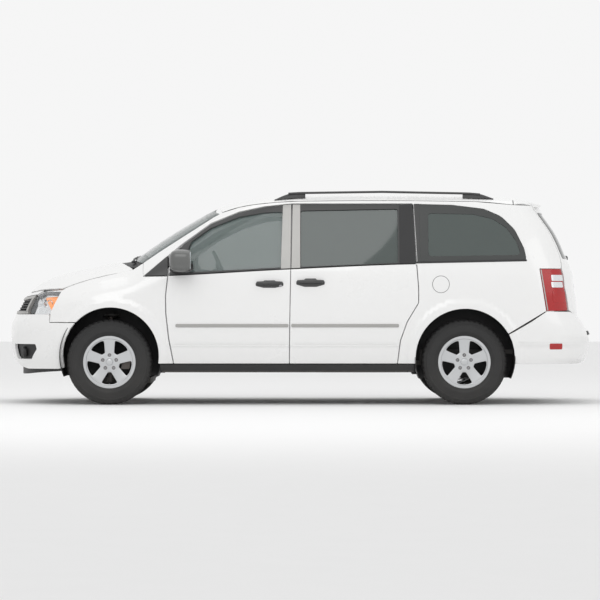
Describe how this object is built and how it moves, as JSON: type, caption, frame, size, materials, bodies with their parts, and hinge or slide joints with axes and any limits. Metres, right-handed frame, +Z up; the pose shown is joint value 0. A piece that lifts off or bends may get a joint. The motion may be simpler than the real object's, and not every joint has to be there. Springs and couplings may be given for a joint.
{
  "type": "minivan",
  "caption": "Five-door minivan with hollow cabin, rolling and steering wheels, swinging front doors, hood, liftgate and fuel door.",
  "frame": {"origin": "on the ground under the middle of the body's box", "axes": "+Z up, the front faces -X, the left side is at -Y"},
  "size_m": [5.031, 2.37, 1.814],
  "materials": {
    "white_paint": "gloss",
    "black_plastic": "matte",
    "lamp_lens": "gloss",
    "tail_lens": "gloss",
    "dark_steel": "satin",
    "radiator_metal": "satin",
    "engine_metal": "rough",
    "clear_glass": "gloss",
    "privacy_glass": "gloss",
    "black_rail": "satin",
    "tank_plastic": "matte",
    "exhaust_steel": "satin",
    "dash_plastic": "matte",
    "seat_cloth": "woven",
    "mirror_shell": "gloss",
    "tyre_rubber": "matte",
    "rim_alloy": "satin"
  },
  "bodies": {
    "body": {"floor_pan": "dark_steel", "firewall": "dark_steel", "roof_panel": "white_paint", "left_body_side": "white_paint", "right_body_side": "white_paint", "front_fenders": "white_paint", "cowl_panel": "black_plastic", "front_bumper": "white_paint", "grille": "black_plastic", "headlights": "lamp_lens", "radiator": "radiator_metal", "front_rails": "dark_steel", "front_subframe": "dark_steel", "engine_block": "engine_metal", "windshield": "clear_glass", "rear_side_glass": "privacy_glass", "left_sliding_door": "white_paint", "right_sliding_door": "white_paint", "rear_bumper": "white_paint", "taillights": "tail_lens", "roof_rails": "black_rail", "wheel_liners": "black_plastic", "rear_axle": "dark_steel", "fuel_tank": "tank_plastic", "exhaust": "exhaust_steel", "dashboard": "dash_plastic", "front_seats": "seat_cloth", "middle_seats": "seat_cloth", "rear_bench": "seat_cloth"},
    "hood": {"hood": "white_paint"},
    "liftgate": {"liftgate": "white_paint", "liftgate_glass": "privacy_glass"},
    "fuel_door": {"fuel_door": "white_paint"},
    "left_front_door": {"left_front_door": "white_paint", "left_door_glass": "clear_glass", "left_mirror": "mirror_shell"},
    "right_front_door": {"right_front_door": "white_paint", "right_door_glass": "clear_glass", "right_mirror": "mirror_shell"},
    "steering_wheel": {"steering_wheel": "dash_plastic"},
    "left_knuckle": {"left_knuckle": "dark_steel"},
    "right_knuckle": {"right_knuckle": "dark_steel"},
    "front_left_wheel": {"front_left_tyre": "tyre_rubber", "front_left_rim": "rim_alloy"},
    "front_right_wheel": {"front_right_tyre": "tyre_rubber", "front_right_rim": "rim_alloy"},
    "rear_left_wheel": {"rear_left_tyre": "tyre_rubber", "rear_left_rim": "rim_alloy"},
    "rear_right_wheel": {"rear_right_tyre": "tyre_rubber", "rear_right_rim": "rim_alloy"}
  },
  "joints": [
    {"name": "left_steer", "type": "hinge", "parent": "body", "child": "left_knuckle", "pos_m": [-1.6125, -0.76, 0.208], "axis": [0, 0.225, 0.9744], "range_deg": [-34, 34]},
    {"name": "right_steer", "type": "hinge", "parent": "body", "child": "right_knuckle", "pos_m": [-1.6125, 0.76, 0.208], "axis": [0, -0.225, 0.9744], "range_deg": [-34, 34]},
    {"name": "steering_wheel_turn", "type": "hinge", "parent": "body", "child": "steering_wheel", "pos_m": [-0.6685, -0.38, 1.15], "axis": [0.9026, 0, 0.4305], "range_deg": [-510.5, 510.5]},
    {"name": "front_left_spin", "type": "hinge", "parent": "left_knuckle", "child": "front_left_wheel", "pos_m": [-1.6125, -0.825, 0.362], "axis": [0, 1, 0], "continuous": true},
    {"name": "front_right_spin", "type": "hinge", "parent": "right_knuckle", "child": "front_right_wheel", "pos_m": [-1.6125, 0.825, 0.362], "axis": [0, 1, 0], "continuous": true},
    {"name": "rear_left_spin", "type": "hinge", "parent": "body", "child": "rear_left_wheel", "pos_m": [1.4025, -0.825, 0.362], "axis": [0, 1, 0], "continuous": true},
    {"name": "rear_right_spin", "type": "hinge", "parent": "body", "child": "rear_right_wheel", "pos_m": [1.4025, 0.825, 0.362], "axis": [0, 1, 0], "continuous": true},
    {"name": "left_front_door_swing", "type": "hinge", "parent": "body", "child": "left_front_door", "pos_m": [-1.1155, -0.968, 0.69], "axis": [0, -0.0698, -0.9976], "range_deg": [0, 68]},
    {"name": "right_front_door_swing", "type": "hinge", "parent": "body", "child": "right_front_door", "pos_m": [-1.1155, 0.968, 0.69], "axis": [0, -0.0698, 0.9976], "range_deg": [0, 68]},
    {"name": "hood_lift", "type": "hinge", "parent": "body", "child": "hood", "pos_m": [-1.4185, 0, 1.24], "axis": [0, 1, 0], "range_deg": [0, 50]},
    {"name": "liftgate_lift", "type": "hinge", "parent": "body", "child": "liftgate", "pos_m": [1.8395, 0, 1.784], "axis": [0, -1, 0], "range_deg": [0, 80]},
    {"name": "fuel_door_swing", "type": "hinge", "parent": "body", "child": "fuel_door", "pos_m": [1.1335, -0.955, 1.023], "axis": [0, 0, -1], "range_deg": [0, 95]}
  ],
  "couplings": [
    {"joint": "right_steer", "follows": "left_steer", "ratio": 1},
    {"joint": "steering_wheel_turn", "follows": "left_steer", "ratio": 15}
  ]
}
